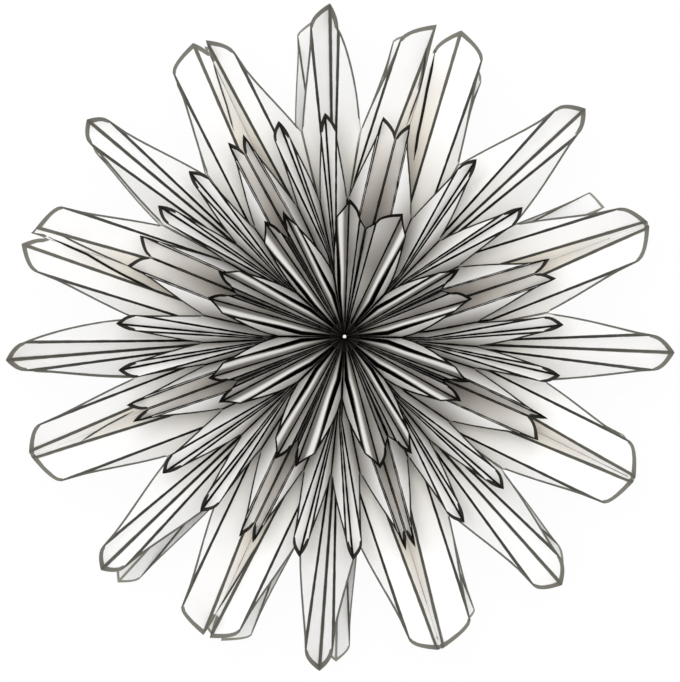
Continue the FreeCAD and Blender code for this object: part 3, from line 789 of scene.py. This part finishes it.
def core_piece(hub, faces, material):
    """The glued centre: a drum whose two ends are pleated in line with the small petals."""
    builder = Builder()

    def add(points, painted_shading, faces):
        """Bare paper, without ink."""
        builder.add(points, np.full(points.shape, 1.0), np.zeros(points.shape), painted_shading, faces)

    for face, flip in zip(faces, (1, -1)):
        folds = [fold for index in range(len(LEAF_AXES))
                 for fold in small_fan(index, face).folds[:-1]]
        grid, glow_and_painted_shade = [], []
        for fold in folds:
            angle = math.atan2(fold.points[0][1], fold.points[0][0])
            rise = CORE_PLEAT * fold.points[0][2] / HUB_RADIUS
            grid.append([(r * math.cos(angle), r * math.sin(angle),
                          flip * max(r, CORE_FLAT) * rise) for r in CORE_RINGS])
            # Painted shade: almost black, with lighter slivers on some pleats, all darker towards
            # the centre
            glow_and_painted_shade.append([CORE_PAINTED_LIGHT.get(fold.kind, CORE_PAINTED_SHADE) * r / CORE_RINGS[0]
                         for r in CORE_RINGS])
        grid, glow_and_painted_shade = np.array(grid), np.array(glow_and_painted_shade)
        count, rows = grid.shape[:2]
        quads = [(k * rows + row, (k + 1) % count * rows + row,
                  (k + 1) % count * rows + row + 1, k * rows + row + 1)[::flip]
                 for k in range(count) for row in range(rows - 1)]
        # The darker the painted shade, the browner
        painted_shading = np.stack([glow_and_painted_shade, 0 * glow_and_painted_shade, 1 - glow_and_painted_shade], -1).reshape(-1, 3)
        add(grid.reshape(-1, 3), painted_shading, quads)

    turns = np.linspace(0, 2 * math.pi, WALL_SIDES + 1)[:-1]
    wall = np.array([(WALL_RADIUS * math.cos(turn), WALL_RADIUS * math.sin(turn), z)
                     for z in (-WALL_HEIGHT, WALL_HEIGHT) for turn in turns])
    quads = [(k, (k + 1) % WALL_SIDES, (k + 1) % WALL_SIDES + WALL_SIDES, k + WALL_SIDES)
             for k in range(WALL_SIDES)]
    add(wall, np.tile(WALL_PAINTED_SHADING, (len(wall), 1)), quads)

    turns = np.linspace(0, 2 * math.pi, DOT_SIDES + 1)[:-1]
    for flip in (1, -1):
        dot = np.array([(DOT_RADIUS * math.cos(turn) * math.cos(ring) + DOT_OFF_CENTRE,
                         DOT_RADIUS * math.sin(turn) * math.cos(ring),
                         flip * (DOT_BASE + DOT_RISE * math.sin(ring)))
                        for ring in DOT_RINGS for turn in turns])
        last = DOT_SIDES * (len(DOT_RINGS) - 1)
        quads = [(row + k, row + (k + 1) % DOT_SIDES, row + DOT_SIDES + (k + 1) % DOT_SIDES,
                  row + DOT_SIDES + k)[::flip]
                 for row in range(0, last, DOT_SIDES) for k in range(DOT_SIDES)]
        quads.append(tuple(last + k for k in range(DOT_SIDES))[::flip])
        add(dot, np.tile([1.0, 0.0, 0.0], (len(dot), 1)), quads)
    return builder.build("pleated_core", hub, material)


def dress(name, sheets, upside_down, hub, material, strokes=()):
    """The look of one node: its sheets, with the lines drawn on them."""
    builder = Builder()
    for sheet in sheets:
        builder.sheet(sheet, upside_down)
    for half_width, tone, route in strokes:
        builder.stroke(half_width, tone, route)
    piece = builder.build("paper_" + name, hub, material)
    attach(piece, "root")
    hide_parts(name)


def seen_ray(tree):
    """1 for what the camera sees, directly, in a reflection or through glass, and 0 for light."""
    path = node(tree, "ShaderNodeLightPath").outputs
    indirect = maths(tree, "MAXIMUM", path["Is Glossy Ray"], path["Is Transmission Ray"])
    return maths(tree, "MAXIMUM", path["Is Camera Ray"], indirect)


def floor_material():
    """A white floor that still takes a little of the star's shadow."""
    material = bpy.data.materials.new("studio_floor")
    material.use_nodes = True
    tree = material.node_tree
    place = node(tree, "ShaderNodeTexCoord").outputs["Object"]
    pale = mixed(tree, noise(tree, place, scale=3.0), (0.90, 0.90, 0.90, 1),
                 (0.93, 0.93, 0.93, 1))
    shader = tree.nodes["Principled BSDF"]
    fill(tree, shader, {"Roughness": 0.9, "Base Color": pale})
    glow_and_painted_shade = node(tree, "ShaderNodeEmission", {"Strength": 1.0})
    share = maths(tree, "MULTIPLY", seen_ray(tree), FLOOR_GLOW)
    mix = node(tree, "ShaderNodeMixShader", {0: share, 1: shader.outputs[0], 2: glow_and_painted_shade.outputs[0]})
    fill(tree, tree.nodes["Material Output"], {"Surface": mix.outputs[0]})
    return material


def studio(hub, low):
    """Floor, world, lamp and the camera that looks straight along the star's axis."""
    mesh = bpy.data.meshes.new("floor")
    mesh.from_pydata([(x * FLOOR_SIZE, y * FLOOR_SIZE, low)
                      for x, y in ((-1, -1), (1, -1), (1, 1), (-1, 1))], [], [(0, 1, 2, 3)])
    floor = bpy.data.objects.new("floor", mesh)
    bpy.context.scene.collection.objects.link(floor)
    mesh.materials.append(floor_material())

    # The world looks white, also in reflections, and gives less light than that
    world = bpy.data.worlds.new("studio")
    bpy.context.scene.world = world
    world.use_nodes = True
    tree = world.node_tree
    sky = tree.nodes["Background"]
    fill(tree, sky, {"Color": (1, 1, 1, 1), "Strength": SKY})
    white = node(tree, "ShaderNodeBackground", {"Color": (1, 1, 1, 1), "Strength": 1.0})
    mix = node(tree, "ShaderNodeMixShader",
               {0: seen_ray(tree), 1: sky.outputs[0], 2: white.outputs[0]})
    fill(tree, tree.nodes["World Output"], {"Surface": mix.outputs[0]})

    lamp = bpy.data.lights.new("overhead", "AREA")
    lamp.energy = LAMP_POWER
    lamp.size = LAMP_SIZE
    holder = bpy.data.objects.new("overhead", lamp)
    holder.location = Vector(hub) + Vector(LAMP_SPOT)
    holder.rotation_euler = (-Vector(LAMP_SPOT)).to_track_quat("-Z", "Y").to_euler()
    bpy.context.scene.collection.objects.link(holder)

    lens = bpy.data.cameras.new("camera")
    lens.sensor_fit = "HORIZONTAL"
    lens.sensor_width = 36.0
    lens.lens = LENS
    lens.clip_start = 0.01
    lens.clip_end = 50.0
    lens.shift_x = SHIFT
    lens.shift_y = SHIFT
    camera = bpy.data.objects.new("camera", lens)
    camera.location = (hub[0], hub[1], hub[2] + CAMERA_HEIGHT)
    bpy.context.scene.collection.objects.link(camera)
    bpy.context.scene.camera = camera


def main():
    low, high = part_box("core")
    hub = [(a + b) / 2 for a, b in zip(low, high)]
    paper = paper_material()
    front = Face([(0.0, 0.0)], PAIR_RIDGE_BRANCH, POINT_REACH, PAIR_REACH)
    back = Face(BACK_TURNS, BACK_RIDGE_BRANCH, BACK_POINT_REACH, BACK_PAIR_REACH)
    leaves = range(len(LEAF_AXES))
    for index in leaves:
        number = index + 1
        strokes = [stroke for pair, *stroke in STROKES if pair == number]
        dress("front_point_%d" % number, [large_point(index, front)], False, hub, paper)
        dress("front_pair_%d" % number, large_pair(index, front), False, hub, paper, strokes)
        dress("front_medium_fan_%d" % number, [medium_fan(index, front)], False, hub, paper)
        dress("front_small_fan_%d" % number, [small_fan(index, front)], False, hub, paper)
        dress("back_point_%d" % number, [large_point(index, back)], True, hub, paper)
        dress("back_pair_%d" % number, large_pair(index, back), True, hub, paper)
    dress("back_medium_fans", [medium_fan(index, back) for index in leaves], True, hub, paper)
    dress("back_small_fans", [small_fan(index, back) for index in leaves], True, hub, paper)
    core = core_piece(hub, (front, back), paper)
    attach(core, "root")
    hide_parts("core")

    studio(hub, 0.0)
    bpy.context.scene.view_settings.view_transform = "Standard"


main()
